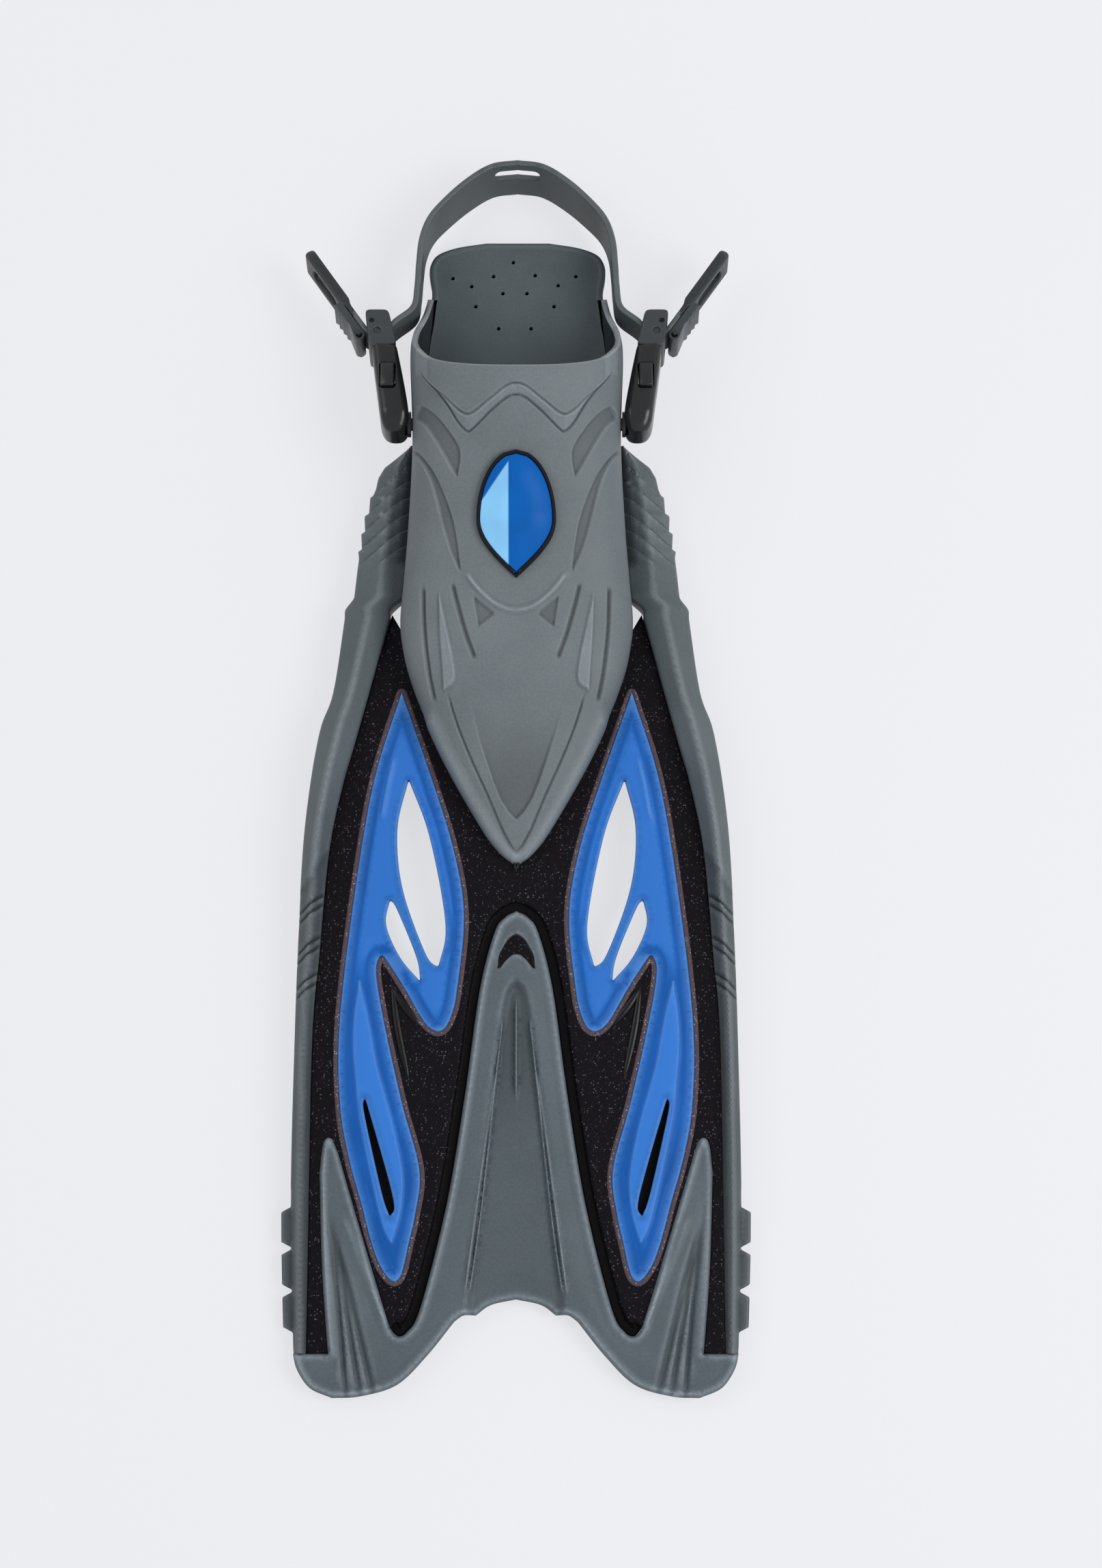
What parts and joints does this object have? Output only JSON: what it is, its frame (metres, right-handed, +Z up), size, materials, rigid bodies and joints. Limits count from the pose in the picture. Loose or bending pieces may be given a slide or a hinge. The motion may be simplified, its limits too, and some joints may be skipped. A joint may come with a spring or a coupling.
{
  "type": "swim fin",
  "caption": "Open-heel swim fin: ribbed side rails, black blade with blue vented inserts, soft forked tip, rubber foot pocket and a heel strap on quick-release swivel buckles.",
  "frame": {"origin": "centre of the bounding box on the surface that the fin lies on", "axes": "+Z up, +Y from the blade's tip to the heel, +X across the blade to the right"},
  "size_m": [0.2164, 0.584, 0.0764],
  "materials": {
    "pocket_rubber": "satin moulded",
    "rail_rubber": "satin moulded",
    "core_plastic": "fine grained",
    "insert_elastomer": "satin",
    "gloss_black": "gloss moulded",
    "badge_blue": "gloss",
    "strap_rubber": "satin moulded",
    "pin_steel": "drawn"
  },
  "bodies": {
    "fin": {"blade_panel": "core_plastic", "foot_pocket": "pocket_rubber", "footbed": "pocket_rubber", "outsole": "rail_rubber", "left_rail": "rail_rubber", "right_rail": "rail_rubber", "blade_tip": "rail_rubber", "left_insert": "insert_elastomer", "right_insert": "insert_elastomer", "badge_bezel": "gloss_black", "badge_plate": "badge_blue", "left_swivel_stud": "gloss_black", "right_swivel_stud": "gloss_black", "left_stud_washer": "gloss_black", "right_stud_washer": "gloss_black"},
    "strap": {"heel_strap": "strap_rubber", "left_buckle_socket": "gloss_black", "left_buckle_clip": "gloss_black", "left_roller_pin": "pin_steel", "left_lever_pin": "pin_steel", "right_buckle_socket": "gloss_black", "right_buckle_clip": "gloss_black", "right_roller_pin": "pin_steel", "right_lever_pin": "pin_steel"},
    "right_upper_release_button": {"right_upper_release_button": "gloss_black"},
    "right_lower_release_button": {"right_lower_release_button": "gloss_black"},
    "right_lock_lever": {"right_lock_lever": "gloss_black"},
    "right_strap_roller": {"right_strap_roller": "gloss_black"},
    "left_upper_release_button": {"left_upper_release_button": "gloss_black"},
    "left_lower_release_button": {"left_lower_release_button": "gloss_black"},
    "left_lock_lever": {"left_lock_lever": "gloss_black"},
    "left_strap_roller": {"left_strap_roller": "gloss_black"}
  },
  "joints": [
    {"name": "strap_swivel", "type": "hinge", "parent": "fin", "child": "strap", "pos_m": [0, 0.158, 0.04], "axis": [1, 0, 0], "range_deg": [0, 110]},
    {"name": "right_upper_button_press", "type": "slide", "parent": "strap", "child": "right_upper_release_button", "axis": [0, -0.1908, -0.9816], "range_m": [0, 0.002], "stiffness_N_per_m": 200},
    {"name": "right_lower_button_press", "type": "slide", "parent": "strap", "child": "right_lower_release_button", "axis": [0, 0.1908, 0.9816], "range_m": [0, 0.002], "stiffness_N_per_m": 200},
    {"name": "right_lever_lift", "type": "hinge", "parent": "strap", "child": "right_lock_lever", "pos_m": [0.07426, 0.19998, 0.03184], "axis": [0, -0.1908, -0.9816], "range_deg": [0, 25], "stiffness_Nm_per_rad": 0.02},
    {"name": "right_roller_spin", "type": "hinge", "parent": "strap", "child": "right_strap_roller", "pos_m": [0.06832, 0.2058, 0.03071], "axis": [0, 0.1908, 0.9816], "continuous": true},
    {"name": "left_upper_button_press", "type": "slide", "parent": "strap", "child": "left_upper_release_button", "axis": [0, -0.1908, -0.9816], "range_m": [0, 0.002], "stiffness_N_per_m": 200},
    {"name": "left_lower_button_press", "type": "slide", "parent": "strap", "child": "left_lower_release_button", "axis": [0, 0.1908, 0.9816], "range_m": [0, 0.002], "stiffness_N_per_m": 200},
    {"name": "left_lever_lift", "type": "hinge", "parent": "strap", "child": "left_lock_lever", "pos_m": [-0.07426, 0.19998, 0.03184], "axis": [0, 0.1908, 0.9816], "range_deg": [0, 25], "stiffness_Nm_per_rad": 0.02},
    {"name": "left_roller_spin", "type": "hinge", "parent": "strap", "child": "left_strap_roller", "pos_m": [-0.06832, 0.2058, 0.03071], "axis": [0, 0.1908, 0.9816], "continuous": true}
  ]
}
